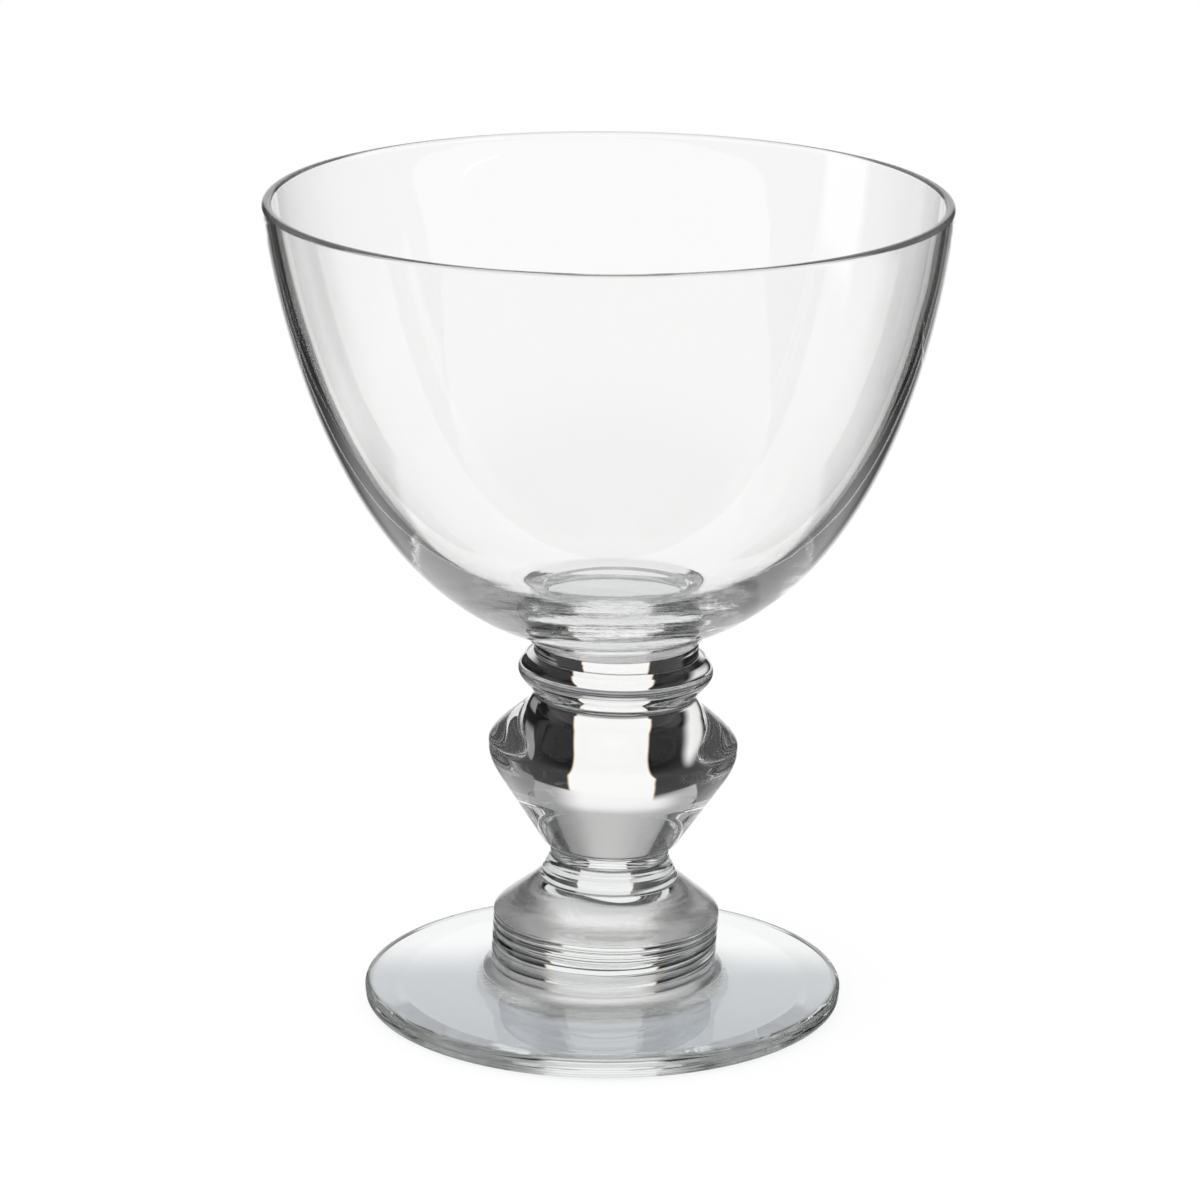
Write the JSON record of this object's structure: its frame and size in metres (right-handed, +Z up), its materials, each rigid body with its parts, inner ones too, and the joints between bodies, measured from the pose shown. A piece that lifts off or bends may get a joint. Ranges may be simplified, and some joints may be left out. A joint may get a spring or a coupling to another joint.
{
  "type": "sundae glass",
  "caption": "Clear hand-made sundae glass: a deep round bowl on a short solid stem with a ring collar, a double-cone knop and a ringed drum, standing on a flat round foot.",
  "frame": {"origin": "on the table, under the middle of the foot and of the rim", "axes": "+Z up along the glass, +X to the right and +Y away in the pictured view"},
  "size_m": [0.105, 0.105, 0.1283],
  "materials": {
    "bowl_glass": "clear blown glass, fire-polished rim, faint drawn striae near the base",
    "stem_glass": "clear solid glass, hot-worked, with fine turning rings left by the tools",
    "foot_glass": "clear glass with a faint grey-green cast at the edge, fire-polished"
  },
  "bodies": {
    "root": {"foot": "foot_glass", "base_drum": "stem_glass", "lower_neck": "stem_glass", "knop": "stem_glass", "collar_neck": "stem_glass", "ring_collar": "stem_glass", "bowl_post": "stem_glass", "bowl": "bowl_glass"}
  },
  "joints": []
}
